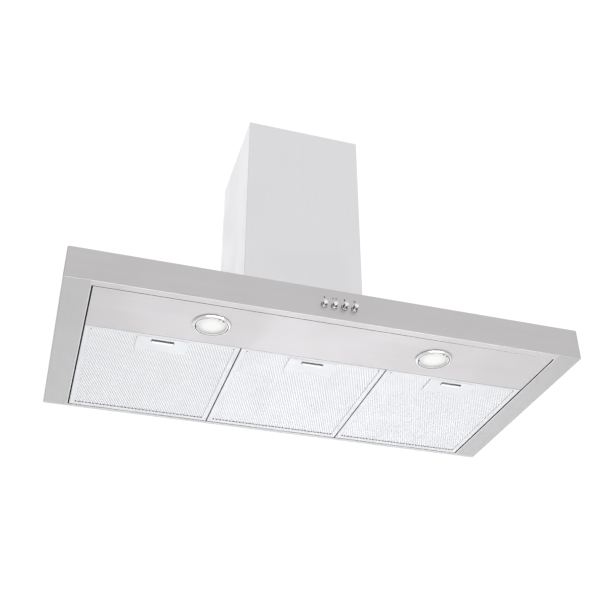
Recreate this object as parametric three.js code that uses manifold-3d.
// A wall-mounted chimney range hood: a flat stainless canopy with three hinged mesh filters, two lamps
// and four push buttons, under a telescopic chimney that hides the blower.
// Millimetres. +Z is up, +X runs along the canopy, the wall is the plane y = 0 and the front faces -Y.
// z = 0 is half way up the canopy, so the canopy's rear face is centred on the origin.

import * as THREE from "three";
import { mergeVertices } from "three/addons/utils/BufferGeometryUtils.js";
import Module from "manifold-3d";

const wasm = await Module();
wasm.setup();

// ---------------------------------------------------------------- driving sizes

// Fits
const GAP = 0.3; // between pieces that touch on the real hood
const PAST = 1; // how far a cutter runs past the face it opens
const SEAM = 1.5; // the open seam round the light panel and the filters

// Canopy
const CANOPY_WIDTH = 914;
const CANOPY_DEPTH = 450;
const CANOPY_HEIGHT = 60;
const CANOPY_SHEET = 1.2;
const SIDE_LIP = 47;
const FRONT_LIP = 16;
const REAR_LIP = 8;
const BACK_FLANGE = 10;
const KEYHOLE_SPACING = 600;
const KEYHOLE_HEAD_RADIUS = 5;
const KEYHOLE_NECK_RADIUS = 3;
const KEYHOLE_RISE = 12;
const INLET_WIDTH = 200;
const INLET_DEPTH = 190;

// Light panel
const LIGHT_PANEL_DEPTH = 121.4;
const PANEL_FLANGE = 13;
const BRACKET_WIDTH = 12;
const BRACKET_DEPTH = 60;
const BRACKET_SHEET = 1.2;
const BRACKET_INSET = 9; // from the end of the panel to the bracket

// Lamps
const LAMP_SPACING = 406;
const BEZEL_RADIUS = 33.5;
const BEZEL_DROP = 4; // how far the bezel stands below the panel
const BEZEL_LEDGE = 2.2; // the ledge that the glass lies on
const BEZEL_LEDGE_DROP = 1.5; // from the rim's top to the ledge's
const BEZEL_BEVEL = 0.8; // round the opening
const BEZEL_ROLL = [2, 1]; // inwards and up from the rim's corner, where the rim starts to curve
const BEZEL_ROLL_END = [0.5, 2.2]; // where it ends
const LAMP_HOLE_RADIUS = 29;
const NECK_WALL = 1.2;
const NECK_HEIGHT = 14;
const LENS_THICKNESS = 2.5;
const REFLECTOR_WALL = 1;
const REFLECTOR_HEIGHT = 20;
const REFLECTOR_MOUTH_RADIUS = 7;
const REFLECTOR_WAIST = 0.82; // share of the rim's radius
const REFLECTOR_WAIST_RISE = 0.55; // share of the height
const BULB_RADIUS = 4.5;
const BULB_LENGTH = 14;
const BULB_SHOULDER = 0.7; // share of the radius where the tip is half round
const HOLDER_RADIUS = 11;
const HOLDER_HEIGHT = 12;

// Push buttons
const BUTTON_PITCH = 18;
const BUTTON_HEIGHT = 27.4; // above the underside
const BUTTON_RADIUS = 4.05;
const BUTTON_REACH = 11.5; // how far a button stands out when it is off
const BUTTON_DOME = 1.2;
const BUTTON_SHOULDER = 0.75; // share of the radius, and of the dome, where the edge turns flatter
const BUTTON_LATCHED = 3; // how much shorter a button stands when it is on
const BUTTON_PRESS = 4.5; // the full stroke of a button
const BUTTON_FLANGE_RADIUS = 5.6;
const BUTTON_FLANGE = 1.5;
const BUTTON_STEM_RADIUS = 2.4;
const BUTTON_STEM = 15.5;
const COLLAR_WALL = 1.4;
const COLLAR_REACH = 2.4; // how far the chrome collars stand out
const SWITCH_PLATE_THICKNESS = 1.2;
const SWITCH_BODY_WIDTH = 78;
const SWITCH_BODY_HEIGHT = 22;
const SWITCH_BODY_DEPTH = 19;
const SWITCH_POST = 3; // square posts between the switch body and its plate

// Filters
const FILTER_THICKNESS = 8.5;
const FILTER_WALL = 1;
const FILTER_SIDE_BORDER = 10.5;
const FILTER_FRONT_BORDER = 6.5;
const FILTER_REAR_BORDER = 11.5;
const MESH_THICKNESS = 2; // the pack of mesh layers as one solid sheet
const HINGE_TAB_WIDTH = 80;
const HINGE_TAB_THICKNESS = 1.5;
const HINGE_TAB_REACH = 6.5;

// Filter latches
const CASE_WIDTH = 90;
const CASE_DEPTH = 46;
const CASE_SHEET = 1;
const CHANNEL_WIDTH = 48;
const FINGER_SLOT_WIDTH = 39.6;
const FINGER_SLOT_DEPTH = 10.5;
const FINGER_SLOT_START = 13.1; // from the front of the filter
const FINGER_GAP = 3.7; // in front of the latch's finger bar
const LATCH_SHEET = 1.1;
const LATCH_WIDTH = 44;
const BAR_PLAY = 0.8; // between the finger bar's ends and the slot's
const BAR_DEPTH = 5;
const BAR_THICKNESS = 1.9;
const TONGUE_WIDTH = 24;
const TONGUE_ENGAGEMENT = 1.7; // how far the tongue stands past the panel's flange
const LATCH_PLATE_DEPTH = 25;
const SPRING_RADIUS = 2.2;
const SPRING_WIRE = 0.6;
const SPRING_TURNS = 6;
const SPRING_TAB_WIDTH = 8.8;

// Chimney
const CHIMNEY_WIDTH = 244;
const CHIMNEY_DEPTH = 244;
const CHIMNEY_HEIGHT = 550;
const CHIMNEY_SHEET = 1;
const CHIMNEY_RETURN = 12;
const NEST_GAP = 1; // between the two covers
const UPPER_START = 20; // the upper cover's lower edge above the canopy
const UPPER_DROP = 2; // its upper edge below the lower cover's
const VENT_COUNT = 5;
const VENT_LENGTH = 60;
const VENT_HEIGHT = 5;
const VENT_PITCH = 12;
const VENT_BELOW_TOP = 22;
const STRAP_HEIGHT = 25;
const STRAP_SHEET = 1.5;
const STRAP_BELOW_TOP = 100;
const STRAP_EAR = 25;
const STRAP_FOOT = 20;

// Blower
const BLOWER_SIDE_CLEARANCE = 4; // from the upper cover
const BLOWER_WALL_CLEARANCE = 6; // from the wall
const BLOWER_HEIGHT = 249.7;
const BLOWER_SHEET = 1;
const BLOWER_FLANGE = 12;
const SCROLL_START_RADIUS = 88;
const SCROLL_END_RADIUS = 108;
const SCROLL_WIDTH = 150;
const SCROLL_WALL = 1.2;
const SCROLL_MOUTH = 64;
const SCROLL_INLET_RADIUS = 68;
const FAN_HEIGHT = 125; // the fan's axis above the canopy
const WHEEL_RADIUS = 80;
const WHEEL_WIDTH = 140;
const WHEEL_RING = 8;
const WHEEL_RING_THICKNESS = 2;
const WHEEL_INSET = 1; // of the disc and the blades inside the rings' edge
const BLADE_COUNT = 24;
const BLADE_CHORD = 11;
const BLADE_THICKNESS = 1;
const BLADE_LEAN = 35; // degrees from the radius
const WHEEL_DISC = 2;
const HUB_RADIUS = 14;
const HUB_LENGTH = 10;
const SHAFT_RADIUS = 4;
const SHAFT_IN_MOTOR = 22;
const MOTOR_RADIUS = 38;
const MOTOR_BOSS_RADIUS = 20;
const MOTOR_BOSS = 5;
const BRACKET_ARMS = 3;
const ARM_WIDTH = 14;
const ARM_THICKNESS = 2;
const ARM_REACH = 80;
const BRACKET_HUB_RADIUS = 30;

// Outlet collar and its damper
const DUCT_RADIUS = 75;
const DUCT_HEIGHT = 52;
const DUCT_WALL = 1.2;
const DUCT_FLANGE = 3.5;
const DUCT_FLANGE_THICKNESS = 1.2;
const DUCT_EDGE = 7; // from the back of the blower box to the collar
const DAMPER_HEIGHT = 20; // the damper pin above the collar's foot
const DAMPER_PIN_RADIUS = 1.5;
const DAMPER_LEDGE = 4.8;
const DAMPER_LEDGE_THICKNESS = 1.2;
const FLAP_THICKNESS = 0.8;
const FLAP_CLEARANCE = 1.8;
const KNUCKLE_RADIUS = 3;
const KNUCKLE_LENGTH = 14;
const KNUCKLE_PITCH = 30;
const KNUCKLE_SHIFT = 7.5; // of each flap's knuckles along the pin, to clear the other's
const FLAP_OFFSET = 3.6; // the flap's straight edge from the pin's axis

// Wiring
const BOX_WIDTH = 140;
const BOX_DEPTH = 80;
const BOX_HEIGHT = 34;
const BOX_WALL = 1.2;
const BOX_SETBACK = 45; // from the canopy's front to the control box
const CAPACITOR_RADIUS = 12;
const CAPACITOR_LENGTH = 55;
const LEAD_RADIUS = 2;
const GLAND_RADIUS = 6;
const GLAND_HEX_RADIUS = 10;
const GLAND_HEX_HEIGHT = 5;
const GLAND_BORE_RADIUS = 3.5;
const GLAND_HEIGHT = 12;

// Smoothness of round shapes
const ROUND_SIDES = 40;
const SMALL_SIDES = 24;
const PIN_SIDES = 16;
const LEAD_SIDES = 8;
const WIRE_SIDES = 6;
const GLAND_SIDES = 6;
const COIL_STEPS = 9; // along one turn of a spring
const SCROLL_STEPS = 36; // round the scroll's spiral
const LAMP_LEAD_STEPS = 24;
const MOTOR_LEAD_STEPS = 44;

// ---------------------------------------------------------------- derived places

const TOP = CANOPY_HEIGHT / 2;
const UNDERSIDE = -TOP;
const FRONT = -CANOPY_DEPTH;
const WALL = 0;
const HALF_WIDTH = CANOPY_WIDTH / 2;
const OPENING_HALF = HALF_WIDTH - SIDE_LIP;
const INNER_FLOOR = UNDERSIDE + CANOPY_SHEET;
const INNER_ROOF = TOP - CANOPY_SHEET;

const PANEL_FRONT = FRONT + FRONT_LIP + GAP;
const PANEL_REAR = PANEL_FRONT + LIGHT_PANEL_DEPTH;
const PANEL_HALF = OPENING_HALF - SEAM;
const PANEL_TOP = INNER_FLOOR + PANEL_FLANGE;
const LAMP_Y = (PANEL_FRONT + PANEL_REAR) / 2;

const FILTER_NAMES = ["left", "centre", "right"];
const FILTER_GAPS = FILTER_NAMES.length + 1;
const FILTER_WIDTH = (2 * OPENING_HALF - FILTER_GAPS * SEAM) / FILTER_NAMES.length;
const FILTER_FRONT = PANEL_REAR + SEAM;
const FILTER_REAR = WALL - REAR_LIP - SEAM;
const FILTER_TOP = UNDERSIDE + FILTER_THICKNESS;
const FILTER_HALF = FILTER_WIDTH / 2;
const MESH_BOTTOM = UNDERSIDE + FILTER_WALL + GAP;
const MESH_TOP = MESH_BOTTOM + MESH_THICKNESS;

const CASE_FRONT = FILTER_FRONT + FILTER_FRONT_BORDER + GAP;
const CASE_REAR = CASE_FRONT + CASE_DEPTH;
const CHANNEL_TOP = FILTER_TOP - FILTER_WALL - GAP;
const CHANNEL_ROOF = CHANNEL_TOP - CASE_SHEET;
const SLOT_FRONT = FILTER_FRONT + FINGER_SLOT_START;
const SLOT_REAR = SLOT_FRONT + FINGER_SLOT_DEPTH;
const WEB_FRONT = SLOT_FRONT + FINGER_GAP;
const LATCH_TOP = CHANNEL_ROOF - GAP;
const LATCH_BOTTOM = LATCH_TOP - LATCH_SHEET;
const PLATE_FRONT = CASE_FRONT + GAP;
const PLATE_REAR = PLATE_FRONT + LATCH_PLATE_DEPTH;
const TONGUE_TIP = PANEL_REAR - CANOPY_SHEET - TONGUE_ENGAGEMENT;

const BUTTON_NAMES = ["light", "low", "medium", "high"];
const BUTTONS_ON = ["light", "low"];
const BUTTON_Z = UNDERSIDE + BUTTON_HEIGHT;
const COLLAR_BORE = BUTTON_RADIUS + GAP;
const COLLAR_RADIUS = COLLAR_BORE + COLLAR_WALL;
const PLATE_OUTER_FACE = FRONT + CANOPY_SHEET + GAP;
const PLATE_INNER_FACE = PLATE_OUTER_FACE + SWITCH_PLATE_THICKNESS;
const BUTTON_STOP = PLATE_INNER_FACE + GAP;
const SWITCH_FRONT = BUTTON_STOP + BUTTON_FLANGE + BUTTON_PRESS + PAST;

const LOWER_HALF = CHIMNEY_WIDTH / 2;
const UPPER_HALF = LOWER_HALF - CHIMNEY_SHEET - NEST_GAP;
const UPPER_FRONT = WALL - CHIMNEY_DEPTH + CHIMNEY_SHEET + NEST_GAP;
const UPPER_REAR = WALL - CHIMNEY_SHEET - NEST_GAP;
const CHIMNEY_FOOT = TOP + GAP;
const CHIMNEY_TOP = TOP + CHIMNEY_HEIGHT;
const UPPER_TOP = CHIMNEY_TOP - UPPER_DROP;

const BLOWER_HALF = UPPER_HALF - CHIMNEY_SHEET - BLOWER_SIDE_CLEARANCE;
const BLOWER_FRONT = UPPER_FRONT + CHIMNEY_SHEET + BLOWER_SIDE_CLEARANCE;
const BLOWER_REAR = WALL - BLOWER_WALL_CLEARANCE;
const BLOWER_TOP = CHIMNEY_FOOT + BLOWER_HEIGHT;
const FAN_Y = (BLOWER_FRONT + BLOWER_REAR) / 2;
const FAN_Z = CHIMNEY_FOOT + FAN_HEIGHT;
const SCROLL_HALF = SCROLL_WIDTH / 2;
const SCROLL_TOP = BLOWER_TOP - BLOWER_SHEET - GAP;
const DUCT_Y = BLOWER_REAR - DUCT_EDGE - DUCT_RADIUS;
const DUCT_FOOT = BLOWER_TOP + GAP;
const DUCT_BORE = DUCT_RADIUS - DUCT_WALL;
const DAMPER_Z = DUCT_FOOT + DAMPER_HEIGHT;

const BOX_FRONT = FRONT + BOX_SETBACK;
const BOX_REAR = BOX_FRONT + BOX_DEPTH;
const BOX_TOP = INNER_ROOF - GAP;
const BOX_BOTTOM = BOX_TOP - BOX_HEIGHT;

// ---------------------------------------------------------------- materials

const FINISHES = {
  stainless: { color: 0xc2c1c0, roughness: 0.35, metalness: 1 },
  chimneySteel: { color: 0xdededd, roughness: 0.38, metalness: 1 },
  galvanised: { color: 0xa9adb0, roughness: 0.5, metalness: 1 },
  aluminium: { color: 0xe4e4e3, roughness: 0.42, metalness: 1 },
  chrome: { color: 0xe8e8ea, roughness: 0.12, metalness: 1 },
  frostedGlass: { color: 0xfbfaf4, roughness: 0.45, metalness: 0 },
  bulbGlass: { color: 0xfffbea, roughness: 0.2, metalness: 0 },
  ceramic: { color: 0xeeeae0, roughness: 0.6, metalness: 0 },
  blackPlastic: { color: 0x202124, roughness: 0.55, metalness: 0 },
  springSteel: { color: 0x8d9093, roughness: 0.3, metalness: 1 },
  leadRubber: { color: 0x2c2d30, roughness: 0.8, metalness: 0 },
};
const materials = Object.fromEntries(
  Object.entries(FINISHES).map(([name, finish]) => [name, new THREE.MeshStandardMaterial(finish)]),
);

// ---------------------------------------------------------------- solids

const MERGE_DISTANCE = 1e-4;

// A closed geometry as a solid that can be joined and cut.
function solid(geometry) {
  const loose = geometry.index ? geometry.toNonIndexed() : geometry.clone();
  loose.deleteAttribute("normal");
  loose.deleteAttribute("uv");
  const merged = mergeVertices(loose, MERGE_DISTANCE);
  const corners = merged.index.array;
  const kept = [];
  for (let i = 0; i < corners.length; i += 3) {
    const [a, b, c] = corners.subarray(i, i + 3);
    if (a !== b && b !== c && c !== a) kept.push(a, b, c);
  }
  return new wasm.Manifold(
    new wasm.Mesh({
      numProp: 3,
      vertProperties: merged.attributes.position.array,
      triVerts: new Uint32Array(kept),
    }),
  );
}

function join(...pieces) {
  return pieces.reduce((whole, piece) => whole.add(piece));
}

function cut(whole, ...tools) {
  return tools.reduce((rest, tool) => rest.subtract(tool), whole);
}

// A box between two limits on each axis. Its corners take the limits as they are, so boxes that share
// a limit meet exactly.
function block(...limits) {
  const geometry = new THREE.BoxGeometry();
  const corners = geometry.attributes.position.array;
  corners.forEach((value, i) => {
    const [low, high] = limits[i % limits.length];
    corners[i] = value < 0 ? low : high;
  });
  return solid(geometry);
}

// The two limits of a stretch that is centred on a place.
function around(centre, width) {
  return [centre - width / 2, centre + width / 2];
}

// The same stretch on both sides of x = 0.
function bothSides(from, to) {
  return [
    [-to, -from],
    [from, to],
  ];
}

// Local X and Y of a section, and the way it is extruded, for each axis.
const SECTION_AXES = {
  x: [new THREE.Vector3(0, 1, 0), new THREE.Vector3(0, 0, 1), new THREE.Vector3(1, 0, 0)],
  y: [new THREE.Vector3(0, 0, 1), new THREE.Vector3(1, 0, 0), new THREE.Vector3(0, 1, 0)],
  z: [new THREE.Vector3(1, 0, 0), new THREE.Vector3(0, 1, 0), new THREE.Vector3(0, 0, 1)],
};

// An outline extruded along an axis. Its points are (y, z) along x, (z, x) along y and (x, y) along z.
function prism(points, axis, [from, to]) {
  const shape = new THREE.Shape(points.map(([u, v]) => new THREE.Vector2(u, v)));
  const geometry = new THREE.ExtrudeGeometry(shape, { depth: to - from, bevelEnabled: false });
  geometry.translate(0, 0, from);
  geometry.applyMatrix4(new THREE.Matrix4().makeBasis(...SECTION_AXES[axis]));
  return solid(geometry);
}

// The corners of a round section.
function roundPoints(radius, [u, v], sides) {
  return Array.from({ length: sides }, (_, i) => {
    const angle = (2 * Math.PI * i) / sides;
    return [u + radius * Math.cos(angle), v + radius * Math.sin(angle)];
  });
}

function rod(axis, radius, ends, centre = [0, 0], sides = SMALL_SIDES) {
  return prism(roundPoints(radius, centre, sides), axis, ends);
}

function tube(axis, outer, inner, ends, centre = [0, 0], sides = ROUND_SIDES) {
  const bore = [ends[0] - PAST, ends[1] + PAST];
  return cut(rod(axis, outer, ends, centre, sides), rod(axis, inner, bore, centre, sides));
}

// A profile of (radius, z) points turned about the z axis, its outside counter-clockwise.
function turned(profile, sides = ROUND_SIDES) {
  const points = [...profile, profile[0]].map(([r, z]) => new THREE.Vector2(r, z));
  const geometry = new THREE.LatheGeometry(points, sides);
  geometry.rotateX(Math.PI / 2);
  return solid(geometry);
}

// A round section carried along a curve.
function swept(curve, radius, sides, steps) {
  const ring = roundPoints(radius, [0, 0], sides);
  const section = new THREE.Shape(ring.map(([u, v]) => new THREE.Vector2(u, v)));
  const settings = { steps, bevelEnabled: false, extrudePath: curve };
  return solid(new THREE.ExtrudeGeometry(section, settings));
}

// A solid as a named mesh.
function piece(name, made, material) {
  const { numProp, vertProperties, triVerts } = made.getMesh();
  const geometry = new THREE.BufferGeometry();
  const buffer = new THREE.InterleavedBuffer(vertProperties, numProp);
  geometry.setAttribute("position", new THREE.InterleavedBufferAttribute(buffer, 3, 0));
  geometry.setIndex(new THREE.BufferAttribute(triVerts, 1));
  const mesh = new THREE.Mesh(geometry.toNonIndexed(), material);
  mesh.geometry.computeVertexNormals();
  mesh.name = name;
  return mesh;
}

function group(...children) {
  const made = new THREE.Group();
  made.add(...children);
  return made;
}

// The place of each of a row of pieces, spaced evenly about x = 0.
function rowPlaces(count, pitch) {
  return Array.from({ length: count }, (_, i) => (i - (count - 1) / 2) * pitch);
}

const filterPlaces = rowPlaces(FILTER_NAMES.length, FILTER_WIDTH + SEAM);
const buttonPlaces = rowPlaces(BUTTON_NAMES.length, BUTTON_PITCH);

// ---------------------------------------------------------------- canopy

// One folded sheet: top, front and sides, with lips turned in round the open underside.
function canopyShell() {
  const outer = block([-HALF_WIDTH, HALF_WIDTH], [FRONT, WALL], [UNDERSIDE, TOP]);
  const inside = block(
    [-HALF_WIDTH + CANOPY_SHEET, HALF_WIDTH - CANOPY_SHEET],
    [FRONT + CANOPY_SHEET, WALL + PAST],
    [INNER_FLOOR, INNER_ROOF],
  );
  const opening = block(
    [-OPENING_HALF, OPENING_HALF],
    [FRONT + FRONT_LIP, WALL - REAR_LIP],
    [UNDERSIDE - PAST, INNER_FLOOR + PAST],
  );
  const inlet = block(
    around(0, INLET_WIDTH),
    around(FAN_Y, INLET_DEPTH),
    [INNER_ROOF - PAST, TOP + PAST],
  );
  const holes = buttonPlaces.map((x) =>
    rod("y", COLLAR_RADIUS + GAP, [FRONT - PAST, FRONT + CANOPY_SHEET + PAST], [BUTTON_Z, x]),
  );
  return cut(outer, inside, opening, inlet, ...holes);
}

// The sheet that closes the canopy against the wall, with a keyhole for each wall screw.
function backPlate() {
  const half = HALF_WIDTH - CANOPY_SHEET - GAP;
  const plate = block([-half, half], [WALL - CANOPY_SHEET, WALL], [INNER_FLOOR + GAP, INNER_ROOF - GAP]);
  const flange = block(
    [-half, half],
    [WALL - CANOPY_SHEET - BACK_FLANGE, WALL],
    [INNER_ROOF - GAP - CANOPY_SHEET, INNER_ROOF - GAP],
  );
  const through = [WALL - CANOPY_SHEET - PAST, WALL + PAST];
  const keyholes = [-1, 1].flatMap((side) => {
    const x = (side * KEYHOLE_SPACING) / 2;
    return [
      rod("y", KEYHOLE_HEAD_RADIUS, through, [0, x]),
      block(around(x, 2 * KEYHOLE_NECK_RADIUS), through, [0, KEYHOLE_RISE]),
      rod("y", KEYHOLE_NECK_RADIUS, through, [KEYHOLE_RISE, x]),
    ];
  });
  return cut(join(plate, flange), ...keyholes);
}

// The shallow pan in front of the filters, which carries the lamps and catches the filters' tongues.
function lightPanel() {
  const outer = block([-PANEL_HALF, PANEL_HALF], [PANEL_FRONT, PANEL_REAR], [UNDERSIDE, PANEL_TOP]);
  const inside = block(
    [-PANEL_HALF + CANOPY_SHEET, PANEL_HALF - CANOPY_SHEET],
    [PANEL_FRONT + CANOPY_SHEET, PANEL_REAR - CANOPY_SHEET],
    [INNER_FLOOR, PANEL_TOP + PAST],
  );
  const lampHoles = lampPlaces().map((x) =>
    rod("z", LAMP_HOLE_RADIUS, [UNDERSIDE - PAST, INNER_FLOOR + PAST], [x, LAMP_Y], ROUND_SIDES),
  );
  const catches = filterPlaces.map((x) =>
    block(
      around(x, TONGUE_WIDTH + 2 * GAP),
      [PANEL_REAR - CANOPY_SHEET - PAST, PANEL_REAR + PAST],
      [LATCH_BOTTOM - GAP, LATCH_TOP + GAP],
    ),
  );
  return cut(outer, inside, ...lampHoles, ...catches);
}

// A hanger between the light panel's side flange and the canopy's roof.
function panelBracket() {
  const hanger = block(
    [0, BRACKET_SHEET],
    around(LAMP_Y, BRACKET_DEPTH),
    [INNER_FLOOR + GAP, INNER_ROOF - GAP],
  );
  const foot = block(
    [0, BRACKET_WIDTH],
    around(LAMP_Y, BRACKET_DEPTH),
    [INNER_FLOOR + GAP, INNER_FLOOR + GAP + BRACKET_SHEET],
  );
  const head = block(
    [0, BRACKET_WIDTH],
    around(LAMP_Y, BRACKET_DEPTH),
    [INNER_ROOF - GAP - BRACKET_SHEET, INNER_ROOF - GAP],
  );
  return join(hanger, foot, head);
}

function canopy() {
  const bracketX = PANEL_HALF - CANOPY_SHEET - BRACKET_INSET;
  const left = piece("panel_bracket_left", panelBracket(), materials.galvanised);
  left.position.x = -bracketX;
  const right = piece("panel_bracket_right", panelBracket(), materials.galvanised);
  right.position.x = bracketX - BRACKET_WIDTH;
  return group(
    piece("canopy_shell", canopyShell(), materials.stainless),
    piece("back_plate", backPlate(), materials.galvanised),
    piece("light_panel", lightPanel(), materials.stainless),
    left,
    right,
  );
}

// ---------------------------------------------------------------- lamps, each built on its own axis

function lampPlaces() {
  return rowPlaces(2, LAMP_SPACING);
}

const BEZEL_TOP = UNDERSIDE - GAP;
const BEZEL_FACE = UNDERSIDE - BEZEL_DROP;
const NECK_RADIUS = LAMP_HOLE_RADIUS - GAP;
const NECK_BORE = NECK_RADIUS - NECK_WALL;
const LEDGE_TOP = BEZEL_TOP - BEZEL_LEDGE_DROP;
const LENS_RADIUS = NECK_BORE - GAP;
const LENS_BOTTOM = LEDGE_TOP + GAP;
const LENS_TOP = LENS_BOTTOM + LENS_THICKNESS;
const REFLECTOR_FOOT = LENS_TOP + GAP;
const REFLECTOR_TOP = REFLECTOR_FOOT + REFLECTOR_HEIGHT;
const HOLDER_FOOT = REFLECTOR_TOP + GAP;

// The chrome ring, with a neck through the panel and a ledge that the glass lies on.
function lampBezel() {
  const bore = NECK_BORE - BEZEL_LEDGE;
  return turned([
    [bore, LEDGE_TOP],
    [bore, BEZEL_FACE + BEZEL_BEVEL],
    [bore + BEZEL_BEVEL, BEZEL_FACE],
    [NECK_RADIUS, BEZEL_FACE],
    [BEZEL_RADIUS - BEZEL_ROLL[0], BEZEL_FACE + BEZEL_ROLL[1]],
    [BEZEL_RADIUS - BEZEL_ROLL_END[0], BEZEL_FACE + BEZEL_ROLL_END[1]],
    [BEZEL_RADIUS, BEZEL_TOP],
    [NECK_RADIUS, BEZEL_TOP],
    [NECK_RADIUS, BEZEL_TOP + NECK_HEIGHT],
    [NECK_BORE, BEZEL_TOP + NECK_HEIGHT],
    [NECK_BORE, LEDGE_TOP],
  ]);
}

function lampLens() {
  return rod("z", LENS_RADIUS, [LENS_BOTTOM, LENS_TOP], [0, 0], ROUND_SIDES);
}

// A spun cup that narrows towards the bulb's holder.
function lampReflector() {
  const rim = LENS_RADIUS;
  const waist = rim * REFLECTOR_WAIST;
  const waistTop = REFLECTOR_FOOT + REFLECTOR_HEIGHT * REFLECTOR_WAIST_RISE;
  return turned([
    [rim - REFLECTOR_WALL, REFLECTOR_FOOT],
    [rim, REFLECTOR_FOOT],
    [rim, REFLECTOR_FOOT + NECK_WALL],
    [waist, waistTop],
    [HOLDER_RADIUS, REFLECTOR_TOP],
    [REFLECTOR_MOUTH_RADIUS, REFLECTOR_TOP],
    [REFLECTOR_MOUTH_RADIUS, REFLECTOR_TOP - REFLECTOR_WALL],
    [HOLDER_RADIUS - REFLECTOR_WALL, REFLECTOR_TOP - REFLECTOR_WALL],
    [waist - REFLECTOR_WALL, waistTop - REFLECTOR_WALL],
    [rim - REFLECTOR_WALL, REFLECTOR_FOOT + NECK_WALL],
  ]);
}

// A capsule bulb that hangs through the reflector's mouth.
function lampBulb() {
  const base = REFLECTOR_TOP;
  const tip = base - BULB_LENGTH;
  return turned([
    [0, tip],
    [BULB_RADIUS * BULB_SHOULDER, tip + BULB_RADIUS * (1 - BULB_SHOULDER)],
    [BULB_RADIUS, tip + BULB_RADIUS],
    [BULB_RADIUS, base],
    [0, base],
  ], SMALL_SIDES);
}

function lampHolder() {
  return rod("z", HOLDER_RADIUS, [HOLDER_FOOT, HOLDER_FOOT + HOLDER_HEIGHT]);
}

function lamp(name, x) {
  const made = group(
    piece(`lamp_bezel_${name}`, lampBezel(), materials.chrome),
    piece(`lamp_lens_${name}`, lampLens(), materials.frostedGlass),
    piece(`lamp_reflector_${name}`, lampReflector(), materials.aluminium),
    piece(`lamp_bulb_${name}`, lampBulb(), materials.bulbGlass),
    piece(`lamp_holder_${name}`, lampHolder(), materials.ceramic),
  );
  made.position.set(x, LAMP_Y, 0);
  return made;
}

// ---------------------------------------------------------------- push buttons

// The plate behind the canopy's front, with a chrome collar through each hole.
function switchPlate() {
  const plate = block(
    around(0, SWITCH_BODY_WIDTH),
    [PLATE_OUTER_FACE, PLATE_INNER_FACE],
    around(BUTTON_Z, SWITCH_BODY_HEIGHT),
  );
  const collars = buttonPlaces.map((x) =>
    rod("y", COLLAR_RADIUS, [FRONT - COLLAR_REACH, PLATE_INNER_FACE], [BUTTON_Z, x]),
  );
  const bores = buttonPlaces.map((x) =>
    rod("y", COLLAR_BORE, [FRONT - COLLAR_REACH - PAST, PLATE_INNER_FACE + PAST], [BUTTON_Z, x]),
  );
  return cut(join(plate, ...collars), ...bores);
}

// The switch block that the four stems run in, with posts that carry its plate.
function switchBody() {
  const rear = SWITCH_FRONT + SWITCH_BODY_DEPTH;
  const level = around(BUTTON_Z, SWITCH_BODY_HEIGHT);
  const body = block(around(0, SWITCH_BODY_WIDTH), [SWITCH_FRONT, rear], level);
  const half = SWITCH_BODY_WIDTH / 2;
  const posts = bothSides(half - SWITCH_POST, half).map((x) =>
    block(x, [PLATE_INNER_FACE + GAP, rear], level),
  );
  const stemEnd = BUTTON_STOP + BUTTON_FLANGE + BUTTON_STEM + BUTTON_PRESS;
  const bores = buttonPlaces.map((x) =>
    rod("y", BUTTON_STEM_RADIUS + GAP, [SWITCH_FRONT - PAST, stemEnd + GAP], [BUTTON_Z, x]),
  );
  return cut(join(body, ...posts), ...bores);
}

// A button in its off position, built on its own axis: domed cap, retaining flange and stem.
function buttonSolid() {
  const shoulder = BUTTON_RADIUS * BUTTON_SHOULDER;
  const profile = [
    [0, -BUTTON_STOP - BUTTON_FLANGE - BUTTON_STEM],
    [BUTTON_STEM_RADIUS, -BUTTON_STOP - BUTTON_FLANGE - BUTTON_STEM],
    [BUTTON_STEM_RADIUS, -BUTTON_STOP - BUTTON_FLANGE],
    [BUTTON_FLANGE_RADIUS, -BUTTON_STOP - BUTTON_FLANGE],
    [BUTTON_FLANGE_RADIUS, -BUTTON_STOP],
    [BUTTON_RADIUS, -BUTTON_STOP],
    [BUTTON_RADIUS, -FRONT + BUTTON_REACH - BUTTON_DOME],
    [shoulder, -FRONT + BUTTON_REACH - BUTTON_DOME * (1 - BUTTON_SHOULDER)],
    [0, -FRONT + BUTTON_REACH],
  ];
  return turned(profile, SMALL_SIDES);
}

// The turned profile points up, so it is laid over to point out of the canopy's front.
function button(name, x) {
  const mesh = piece(`button_${name}`, buttonSolid(), materials.chrome);
  mesh.rotation.x = Math.PI / 2;
  mesh.position.set(x, BUTTONS_ON.includes(name) ? BUTTON_LATCHED : 0, BUTTON_Z);
  return mesh;
}

function controls() {
  return group(
    piece("switch_plate", switchPlate(), materials.chrome),
    piece("switch_body", switchBody(), materials.blackPlastic),
    ...BUTTON_NAMES.map((name, i) => button(name, buttonPlaces[i])),
  );
}

// ---------------------------------------------------------------- filters, each built about its own middle

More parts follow.
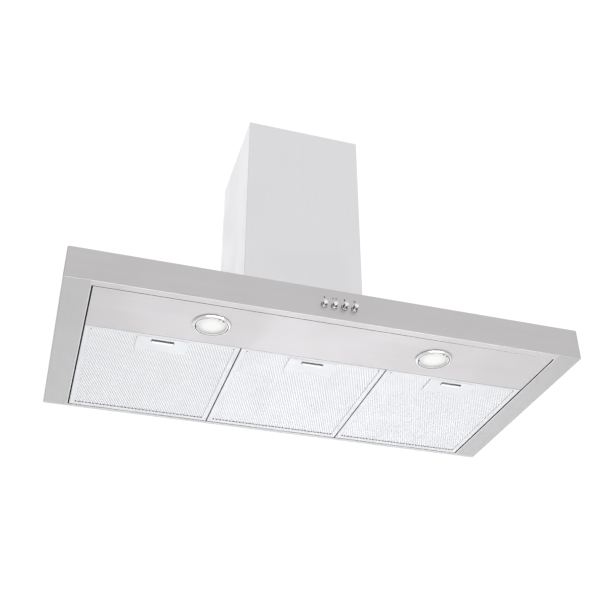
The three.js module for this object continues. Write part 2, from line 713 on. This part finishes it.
// A folded channel frame round the mesh, with a tab behind that rests on the canopy's rear lip.
function filterFrame() {
  const outer = block(
    [-FILTER_HALF, FILTER_HALF],
    [FILTER_FRONT, FILTER_REAR],
    [UNDERSIDE, FILTER_TOP],
  );
  const inside = block(
    [-FILTER_HALF + FILTER_WALL, FILTER_HALF - FILTER_WALL],
    [FILTER_FRONT + FILTER_WALL, FILTER_REAR - FILTER_WALL],
    [UNDERSIDE + FILTER_WALL, FILTER_TOP - FILTER_WALL],
  );
  const window = block(
    [-FILTER_HALF + FILTER_SIDE_BORDER, FILTER_HALF - FILTER_SIDE_BORDER],
    [FILTER_FRONT + FILTER_FRONT_BORDER, FILTER_REAR - FILTER_REAR_BORDER],
    [UNDERSIDE - PAST, FILTER_TOP + PAST],
  );
  const tongueSlot = block(
    around(0, TONGUE_WIDTH + 2 * GAP),
    [FILTER_FRONT - PAST, FILTER_FRONT + FILTER_WALL + PAST],
    [LATCH_BOTTOM - GAP, LATCH_TOP + GAP],
  );
  const tabBottom = INNER_FLOOR + GAP;
  const tab = block(
    around(0, HINGE_TAB_WIDTH),
    [FILTER_REAR - FILTER_WALL, FILTER_REAR + HINGE_TAB_REACH],
    [tabBottom, tabBottom + HINGE_TAB_THICKNESS],
  );
  return join(cut(outer, inside, window, tongueSlot), tab);
}

// The pack of mesh layers, cut away where the latch's channel stands.
function filterMesh() {
  const inset = FILTER_WALL + GAP;
  const pack = block(
    [-FILTER_HALF + inset, FILTER_HALF - inset],
    [FILTER_FRONT + inset, FILTER_REAR - inset],
    [MESH_BOTTOM, MESH_TOP],
  );
  const room = block(
    around(0, CHANNEL_WIDTH + 2 * GAP),
    [FILTER_FRONT, CASE_REAR + GAP],
    [MESH_BOTTOM - PAST, MESH_TOP + PAST],
  );
  return cut(pack, room);
}

// The latch's face plate, with a finger slot, and the channel behind it that the latch slides in.
function latchCase() {
  const faceTop = UNDERSIDE + CASE_SHEET;
  const face = block(around(0, CASE_WIDTH), [CASE_FRONT, CASE_REAR], [UNDERSIDE, faceTop]);
  const channel = block(around(0, CHANNEL_WIDTH), [CASE_FRONT, CASE_REAR], [UNDERSIDE, CHANNEL_TOP]);
  const inside = block(
    around(0, CHANNEL_WIDTH - 2 * CASE_SHEET),
    [CASE_FRONT - PAST, CASE_REAR - CASE_SHEET],
    [faceTop, CHANNEL_ROOF],
  );
  const slot = block(
    around(0, FINGER_SLOT_WIDTH),
    [SLOT_FRONT, SLOT_REAR],
    [UNDERSIDE - PAST, faceTop + PAST],
  );
  return cut(join(face, channel), inside, slot);
}

// The sliding latch: a plate with a tongue at the front, a finger bar below and a tab for the spring.
function latchSolid() {
  const level = [LATCH_BOTTOM, LATCH_TOP];
  const plate = block(around(0, LATCH_WIDTH), [PLATE_FRONT, PLATE_REAR], level);
  const tongue = block(around(0, TONGUE_WIDTH), [TONGUE_TIP, PLATE_FRONT + PAST], level);
  const barTop = UNDERSIDE - GAP;
  const barBottom = barTop - BAR_THICKNESS;
  const across = around(0, FINGER_SLOT_WIDTH - 2 * BAR_PLAY);
  const web = block(across, [WEB_FRONT, WEB_FRONT + LATCH_SHEET], [barBottom, LATCH_TOP]);
  const bar = block(across, [WEB_FRONT, WEB_FRONT + BAR_DEPTH], [barBottom, barTop]);
  const springTab = block(
    around(0, SPRING_TAB_WIDTH),
    [PLATE_REAR - LATCH_SHEET, PLATE_REAR],
    [UNDERSIDE + CASE_SHEET + GAP, LATCH_TOP],
  );
  return join(plate, tongue, web, bar, springTab);
}

class CoilCurve extends THREE.Curve {
  constructor(radius, from, to, turns, z) {
    super();
    Object.assign(this, { radius, from, to, turns, z });
  }

  getPoint(t, target = new THREE.Vector3()) {
    const angle = 2 * Math.PI * this.turns * t;
    return target.set(
      this.radius * Math.cos(angle),
      THREE.MathUtils.lerp(this.from, this.to, t),
      this.z + this.radius * Math.sin(angle),
    );
  }
}

// The coil between the latch's tab and the back of its case.
function latchSpring() {
  const wire = SPRING_WIRE / 2;
  const middle = (UNDERSIDE + CASE_SHEET + CHANNEL_ROOF) / 2;
  const from = PLATE_REAR + GAP + wire;
  const to = CASE_REAR - CASE_SHEET - GAP - wire;
  const curve = new CoilCurve(SPRING_RADIUS - wire, from, to, SPRING_TURNS, middle);
  return swept(curve, wire, WIRE_SIDES, SPRING_TURNS * COIL_STEPS);
}

function filter(name, x) {
  const made = group(
    piece(`filter_frame_${name}`, filterFrame(), materials.aluminium),
    piece(`filter_mesh_${name}`, filterMesh(), materials.aluminium),
    piece(`latch_case_${name}`, latchCase(), materials.aluminium),
    piece(`latch_${name}`, latchSolid(), materials.aluminium),
    piece(`latch_spring_${name}`, latchSpring(), materials.springSteel),
  );
  made.position.x = x;
  return made;
}

// ---------------------------------------------------------------- blower

// The galvanised box that stands on the canopy, open below and with a round hole above.
function blowerBox() {
  const inner = BLOWER_HALF - BLOWER_SHEET;
  const outer = block(
    [-BLOWER_HALF, BLOWER_HALF],
    [BLOWER_FRONT, BLOWER_REAR],
    [CHIMNEY_FOOT, BLOWER_TOP],
  );
  const inside = block(
    [-inner, inner],
    [BLOWER_FRONT + BLOWER_SHEET, BLOWER_REAR - BLOWER_SHEET],
    [CHIMNEY_FOOT + BLOWER_SHEET, BLOWER_TOP - BLOWER_SHEET],
  );
  const mouth = block(
    [-BLOWER_HALF + BLOWER_FLANGE, BLOWER_HALF - BLOWER_FLANGE],
    [BLOWER_FRONT + BLOWER_FLANGE, BLOWER_REAR - BLOWER_FLANGE],
    [CHIMNEY_FOOT - PAST, CHIMNEY_FOOT + 2 * BLOWER_SHEET],
  );
  const roof = [BLOWER_TOP - BLOWER_SHEET - PAST, BLOWER_TOP + PAST];
  const outlet = rod("z", DUCT_BORE - GAP, roof, [0, DUCT_Y], ROUND_SIDES);
  const glandHole = rod("z", GLAND_RADIUS + GAP, roof, glandPlace());
  return cut(outer, inside, mouth, outlet, glandHole);
}

// The scroll's outline in (y, z): a spiral that opens into a straight mouth at the top.
function scrollOutline(wall, top) {
  const tongueY = SCROLL_END_RADIUS - SCROLL_MOUTH + wall;
  const first = Math.acos(tongueY / (SCROLL_START_RADIUS - wall));
  const last = 2 * Math.PI;
  const points = [];
  for (let i = 0; i <= SCROLL_STEPS; i++) {
    const share = i / SCROLL_STEPS;
    const angle = THREE.MathUtils.lerp(first, last, share);
    const radius = THREE.MathUtils.lerp(SCROLL_START_RADIUS, SCROLL_END_RADIUS, share) - wall;
    points.push([FAN_Y + radius * Math.cos(angle), FAN_Z + radius * Math.sin(angle)]);
  }
  points.push([FAN_Y + SCROLL_END_RADIUS - wall, top], [FAN_Y + tongueY, top]);
  return points;
}

// The whole scroll, with an inlet on each side, before it is split into its two halves.
function scroll() {
  const outer = prism(scrollOutline(0, SCROLL_TOP), "x", [-SCROLL_HALF, SCROLL_HALF]);
  const insideHalf = SCROLL_HALF - SCROLL_WALL;
  const inside = prism(scrollOutline(SCROLL_WALL, SCROLL_TOP + PAST), "x", [-insideHalf, insideHalf]);
  const inlets = rod(
    "x",
    SCROLL_INLET_RADIUS,
    [-SCROLL_HALF - PAST, SCROLL_HALF + PAST],
    [FAN_Y, FAN_Z],
    ROUND_SIDES,
  );
  return cut(outer, inside, inlets);
}

function scrollHalf(side) {
  const kept = side < 0 ? [-SCROLL_HALF - PAST, -GAP / 2] : [GAP / 2, SCROLL_HALF + PAST];
  const reach = SCROLL_END_RADIUS + SCROLL_TOP;
  return scroll().intersect(block(kept, around(FAN_Y, 2 * reach), around(FAN_Z, 2 * reach)));
}

// A double-sided fan wheel: forward-leaning blades between two rings and a middle disc on the hub.
function fanWheel() {
  const half = WHEEL_WIDTH / 2;
  const inner = WHEEL_RADIUS - WHEEL_RING;
  const ends = [[-half, -half + WHEEL_RING_THICKNESS], [half - WHEEL_RING_THICKNESS, half]];
  const rings = ends.map((end) => tube("x", WHEEL_RADIUS, inner, end));
  const disc = rod("x", WHEEL_RADIUS - WHEEL_INSET, around(0, WHEEL_DISC), [0, 0], ROUND_SIDES);
  const hub = rod("x", HUB_RADIUS, around(0, HUB_LENGTH));
  const blades = Array.from({ length: BLADE_COUNT }, (_, i) => {
    const blade = new THREE.BoxGeometry(WHEEL_WIDTH - WHEEL_RING_THICKNESS, BLADE_CHORD, BLADE_THICKNESS);
    blade.rotateX(THREE.MathUtils.degToRad(BLADE_LEAN));
    blade.translate(0, WHEEL_RADIUS - WHEEL_RING / 2 - WHEEL_INSET, 0);
    blade.rotateX((2 * Math.PI * i) / BLADE_COUNT);
    return solid(blade);
  });
  const bore = rod("x", SHAFT_RADIUS + GAP, around(0, HUB_LENGTH + 2 * PAST));
  return cut(join(...rings, disc, hub, ...blades), bore);
}

const MOTOR_FRONT = HUB_LENGTH / 2 + PAST;
const MOTOR_END = SCROLL_HALF - MOTOR_BOSS;

// The motor fills one side of the wheel, with a bore for the shaft.
function motorSolid() {
  const body = rod("x", MOTOR_RADIUS, [MOTOR_FRONT, MOTOR_END], [0, 0], ROUND_SIDES);
  const boss = rod("x", MOTOR_BOSS_RADIUS, [MOTOR_END - PAST, SCROLL_HALF]);
  const bore = rod("x", SHAFT_RADIUS + GAP, [MOTOR_FRONT - PAST, MOTOR_FRONT + SHAFT_IN_MOTOR + GAP]);
  return cut(join(body, boss), bore);
}

// A flat spider that carries the motor from the side of the scroll.
function motorBracket() {
  const plate = [SCROLL_HALF + GAP, SCROLL_HALF + GAP + ARM_THICKNESS];
  const hub = rod("x", BRACKET_HUB_RADIUS, plate);
  const arms = Array.from({ length: BRACKET_ARMS }, (_, i) => {
    const arm = new THREE.BoxGeometry(ARM_THICKNESS, ARM_REACH, ARM_WIDTH);
    arm.translate((plate[0] + plate[1]) / 2, ARM_REACH / 2, 0);
    arm.rotateX((2 * Math.PI * i) / BRACKET_ARMS);
    return solid(arm);
  });
  return join(hub, ...arms);
}

// What sits on the fan's axis, built about x and placed there as a group.
function fan() {
  const shaft = rod("x", SHAFT_RADIUS, [-HUB_LENGTH / 2 - PAST, MOTOR_FRONT + SHAFT_IN_MOTOR]);
  const made = group(
    piece("fan_wheel", fanWheel(), materials.aluminium),
    piece("motor_shaft", shaft, materials.springSteel),
    piece("motor", motorSolid(), materials.galvanised),
    piece("motor_bracket", motorBracket(), materials.galvanised),
  );
  made.position.set(0, FAN_Y, FAN_Z);
  return made;
}

// ---------------------------------------------------------------- outlet collar and damper

// The duct collar on the blower box, with a ledge inside that stops the flaps.
function outletCollar() {
  const wall = tube("z", DUCT_RADIUS, DUCT_BORE, [0, DUCT_HEIGHT]);
  const flange = tube("z", DUCT_RADIUS + DUCT_FLANGE, DUCT_BORE, [0, DUCT_FLANGE_THICKNESS]);
  const ledgeTop = DAMPER_HEIGHT - FLAP_THICKNESS / 2 - GAP;
  const ledge = tube(
    "z",
    DUCT_RADIUS,
    DUCT_BORE - DAMPER_LEDGE,
    [ledgeTop - DAMPER_LEDGE_THICKNESS, ledgeTop],
  );
  const pinHole = rod(
    "x",
    DAMPER_PIN_RADIUS + GAP,
    around(0, 2 * DUCT_RADIUS + 2 * PAST),
    [0, DAMPER_HEIGHT],
    PIN_SIDES,
  );
  return cut(join(wall, flange, ledge), pinHole);
}

// A half-round flap on the pin at the origin: side is -1 for the front flap and 1 for the rear one.
function damperFlap(side) {
  const radius = DUCT_BORE - FLAP_CLEARANCE;
  const disc = rod("z", radius, around(0, FLAP_THICKNESS), [0, 0], ROUND_SIDES);
  const keptY = side < 0 ? [-DUCT_RADIUS, -FLAP_OFFSET] : [FLAP_OFFSET, DUCT_RADIUS];
  const half = disc.intersect(block(around(0, 2 * DUCT_RADIUS), keptY, around(0, 2 * FLAP_THICKNESS)));
  const knuckles = [-1, 0, 1].flatMap((n) => {
    const x = n * KNUCKLE_PITCH + side * KNUCKLE_SHIFT;
    const reachY = side < 0 ? [-FLAP_OFFSET - PAST, 0] : [0, FLAP_OFFSET + PAST];
    return [
      rod("x", KNUCKLE_RADIUS, around(x, KNUCKLE_LENGTH), [0, 0], PIN_SIDES),
      block(around(x, KNUCKLE_LENGTH), reachY, around(0, FLAP_THICKNESS)),
    ];
  });
  const bore = rod("x", DAMPER_PIN_RADIUS + GAP, around(0, 2 * DUCT_RADIUS), [0, 0], PIN_SIDES);
  return cut(join(half, ...knuckles), bore);
}

function outlet() {
  const pin = rod("x", DAMPER_PIN_RADIUS, around(0, 2 * DUCT_RADIUS), [0, 0], PIN_SIDES);
  const damper = group(
    piece("damper_pin", pin, materials.springSteel),
    piece("damper_flap_front", damperFlap(-1), materials.aluminium),
    piece("damper_flap_rear", damperFlap(1), materials.aluminium),
  );
  damper.position.z = DAMPER_HEIGHT;
  const made = group(piece("outlet_collar", outletCollar(), materials.blackPlastic), damper);
  made.position.set(0, DUCT_Y, DUCT_FOOT);
  return made;
}

function blower() {
  return group(
    piece("blower_box", blowerBox(), materials.galvanised),
    piece("blower_scroll_left", scrollHalf(-1), materials.galvanised),
    piece("blower_scroll_right", scrollHalf(1), materials.galvanised),
    fan(),
    outlet(),
  );
}

// ---------------------------------------------------------------- wiring

// A tray that hangs from the canopy's roof, open below.
function controlBox() {
  const outer = block(around(0, BOX_WIDTH), [BOX_FRONT, BOX_REAR], [BOX_BOTTOM, BOX_TOP]);
  const inside = block(
    around(0, BOX_WIDTH - 2 * BOX_WALL),
    [BOX_FRONT + BOX_WALL, BOX_REAR - BOX_WALL],
    [BOX_BOTTOM - PAST, BOX_TOP - BOX_WALL],
  );
  return cut(outer, inside);
}

function controlBoxCover() {
  return block(
    around(0, BOX_WIDTH),
    [BOX_FRONT, BOX_REAR],
    [BOX_BOTTOM - GAP - BOX_WALL, BOX_BOTTOM - GAP],
  );
}

function capacitorSolid() {
  const z = BOX_TOP - BOX_WALL - GAP - CAPACITOR_RADIUS;
  const y = BOX_REAR - BOX_WALL - GAP - CAPACITOR_RADIUS;
  return rod("x", CAPACITOR_RADIUS, around(0, CAPACITOR_LENGTH), [y, z]);
}

function leadAlong(points, steps) {
  const curve = new THREE.CatmullRomCurve3(points.map((p) => new THREE.Vector3(...p)));
  return swept(curve, LEAD_RADIUS, LEAD_SIDES, steps);
}

// From a lamp's holder up and along under the roof to the side of the control box.
function lampLead(side) {
  const holderTop = HOLDER_FOOT + HOLDER_HEIGHT;
  const lampX = (side * LAMP_SPACING) / 2;
  const boxX = (side * BOX_WIDTH) / 2;
  const away = holderTop + 5 * LEAD_RADIUS;
  return leadAlong(
    [
      [lampX, LAMP_Y, holderTop + GAP],
      [lampX, LAMP_Y, holderTop + 2 * LEAD_RADIUS],
      [lampX - side * 4 * LEAD_RADIUS, LAMP_Y, away],
      [boxX + side * 6 * LEAD_RADIUS, LAMP_Y, away],
      [boxX + side * GAP, LAMP_Y, away],
    ],
    LAMP_LEAD_STEPS,
  );
}

// From the control box along under the roof, up past the scroll and in to the motor's end.
function motorLead() {
  const roofZ = INNER_ROOF - 2 * LEAD_RADIUS;
  const runX = SCROLL_HALF + ARM_THICKNESS + 6 * LEAD_RADIUS;
  const motorX = SCROLL_HALF + GAP + ARM_THICKNESS + GAP;
  const inletFront = FAN_Y - INLET_DEPTH / 2;
  return leadAlong(
    [
      [BOX_WIDTH / 4, BOX_REAR + GAP, roofZ],
      [BOX_WIDTH / 4, BOX_REAR + 5 * LEAD_RADIUS, roofZ],
      [BOX_WIDTH / 2, BOX_REAR + 16 * LEAD_RADIUS, roofZ],
      [runX, inletFront - 6 * LEAD_RADIUS, roofZ],
      [runX, inletFront + 3 * LEAD_RADIUS, roofZ + 2 * LEAD_RADIUS],
      [runX, inletFront + 7 * LEAD_RADIUS, TOP + 12 * LEAD_RADIUS],
      [runX, FAN_Y - 10 * LEAD_RADIUS, FAN_Z - 12 * LEAD_RADIUS],
      [motorX + 4 * LEAD_RADIUS, FAN_Y, FAN_Z],
      [motorX, FAN_Y, FAN_Z],
    ],
    MOTOR_LEAD_STEPS,
  );
}

function glandPlace() {
  return [BLOWER_HALF - 2 * GLAND_HEX_RADIUS, BLOWER_FRONT + 2 * GLAND_HEX_RADIUS];
}

// The gland that the supply cord leaves by: a bored stem with a six-sided head.
function cableGland() {
  const place = glandPlace();
  const stem = rod("z", GLAND_RADIUS, [BLOWER_TOP - GLAND_HEIGHT / 2, BLOWER_TOP + GLAND_HEIGHT], place);
  const headFoot = BLOWER_TOP + GAP;
  const headLevel = [headFoot, headFoot + GLAND_HEX_HEIGHT];
  const head = rod("z", GLAND_HEX_RADIUS, headLevel, place, GLAND_SIDES);
  const through = [BLOWER_TOP - GLAND_HEIGHT, BLOWER_TOP + 2 * GLAND_HEIGHT];
  const bore = rod("z", GLAND_BORE_RADIUS, through, place);
  return cut(join(stem, head), bore);
}

function wiring() {
  return group(
    piece("control_box", controlBox(), materials.galvanised),
    piece("control_box_cover", controlBoxCover(), materials.galvanised),
    piece("capacitor", capacitorSolid(), materials.blackPlastic),
    piece("lamp_lead_left", lampLead(-1), materials.leadRubber),
    piece("lamp_lead_right", lampLead(1), materials.leadRubber),
    piece("motor_lead", motorLead(), materials.leadRubber),
    piece("cable_gland", cableGland(), materials.blackPlastic),
  );
}

// ---------------------------------------------------------------- chimney

// A U-shaped cover, open above, below and behind, with narrow returns along the wall.
function chimneyCover(half, front, rear, [bottom, top]) {
  const outer = block([-half, half], [front, rear], [bottom, top]);
  const inside = block(
    [-half + CHIMNEY_SHEET, half - CHIMNEY_SHEET],
    [front + CHIMNEY_SHEET, rear - CHIMNEY_SHEET],
    [bottom - PAST, top + PAST],
  );
  const reach = half - CHIMNEY_SHEET - CHIMNEY_RETURN;
  const back = block(
    [-reach, reach],
    [rear - 2 * CHIMNEY_SHEET, rear + PAST],
    [bottom - PAST, top + PAST],
  );
  return cut(outer, inside, back);
}

function lowerCover() {
  return chimneyCover(LOWER_HALF, WALL - CHIMNEY_DEPTH, WALL, [CHIMNEY_FOOT, CHIMNEY_TOP]);
}

// The cover that slides inside, with vents in both sides for recirculated air.
function upperCover() {
  const cover = chimneyCover(UPPER_HALF, UPPER_FRONT, UPPER_REAR, [TOP + UPPER_START, UPPER_TOP]);
  const middleY = (UPPER_FRONT + UPPER_REAR) / 2;
  const across = around(0, 2 * UPPER_HALF + 2 * PAST);
  const vents = Array.from({ length: VENT_COUNT }, (_, i) => {
    const z = UPPER_TOP - VENT_BELOW_TOP - i * VENT_PITCH;
    return block(across, around(middleY, VENT_LENGTH), around(z, VENT_HEIGHT));
  });
  return cut(cover, ...vents);
}

// The strap across the back of the upper cover, with ears along its sides and feet that meet the wall.
function chimneyStrap() {
  const half = UPPER_HALF - CHIMNEY_SHEET - GAP;
  const rear = UPPER_REAR - CHIMNEY_SHEET - GAP;
  const top = UPPER_TOP - STRAP_BELOW_TOP;
  const band = rear - STRAP_SHEET;
  const earTip = rear - STRAP_EAR;
  const rightHalf = [
    [half - STRAP_SHEET, band],
    [half - STRAP_SHEET, earTip],
    [half, earTip],
    [half, rear],
    [2 * STRAP_FOOT, rear],
    [2 * STRAP_FOOT, WALL],
    [STRAP_FOOT, WALL],
    [STRAP_FOOT, rear],
  ];
  const leftHalf = rightHalf.map(([x, y]) => [-x, y]).reverse();
  return prism([...rightHalf, ...leftHalf], "z", [top - STRAP_HEIGHT, top]);
}

function chimney() {
  return group(
    piece("lower_chimney_cover", lowerCover(), materials.chimneySteel),
    piece("upper_chimney_cover", upperCover(), materials.chimneySteel),
    piece("chimney_strap", chimneyStrap(), materials.galvanised),
  );
}

// ---------------------------------------------------------------- the hood

const SIDES = ["left", "right"];

const hood = group(
  canopy(),
  ...SIDES.map((name, i) => lamp(name, lampPlaces()[i])),
  controls(),
  ...FILTER_NAMES.map((name, i) => filter(name, filterPlaces[i])),
  blower(),
  wiring(),
  chimney(),
);

export default hood;
